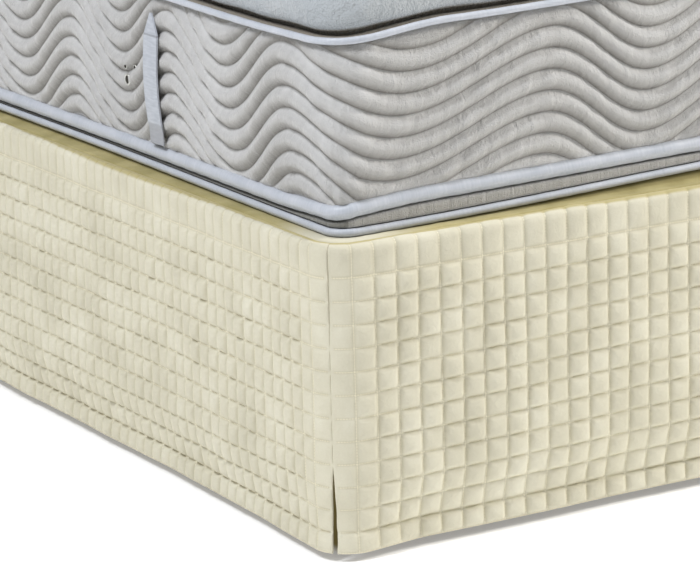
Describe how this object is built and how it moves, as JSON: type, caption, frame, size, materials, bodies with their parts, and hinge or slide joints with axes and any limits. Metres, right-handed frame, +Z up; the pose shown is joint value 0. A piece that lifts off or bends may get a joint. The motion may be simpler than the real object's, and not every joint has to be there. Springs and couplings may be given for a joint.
{
  "type": "quilted bed skirt on a bed with its mattress",
  "caption": "Tailored bed skirt of square-quilted cloth with corner slits, hanging round a plain bed base on legs, its deck held under a mattress.",
  "frame": {"origin": "on the floor, under the middle of the bed's box", "axes": "+Z up, -Y out of the foot of the bed, +Y towards the open head end, +X to the right seen from the foot"},
  "size_m": [1.592, 2.066, 0.6353],
  "materials": {
    "quilted_cloth": "ivory brushed microfibre quilted in small squares",
    "deck_cloth": "plain ivory microfibre",
    "base_upholstery": "plain woven upholstery cloth",
    "leg_wood": "lacquered turned beech",
    "mattress_border": "grey knit quilted in waves",
    "mattress_ticking": "pale knit ticking",
    "mattress_tape": "satin-woven binding tape"
  },
  "bodies": {
    "root": {"side_panel_left": "quilted_cloth", "side_panel_right": "quilted_cloth", "foot_panel": "quilted_cloth", "deck": "deck_cloth", "bed_base": "base_upholstery", "leg_left_foot": "leg_wood", "leg_left_middle": "leg_wood", "leg_left_head": "leg_wood", "leg_right_foot": "leg_wood", "leg_right_middle": "leg_wood", "leg_right_head": "leg_wood", "mattress": "mattress_border", "mattress_pillow_top": "mattress_ticking", "mattress_lower_cord": "mattress_tape", "mattress_edge_roll": "mattress_tape", "mattress_upper_cord": "mattress_tape", "mattress_handle_left_foot": "mattress_tape", "mattress_handle_left_head": "mattress_tape", "mattress_handle_right_foot": "mattress_tape", "mattress_handle_right_head": "mattress_tape"}
  },
  "joints": []
}
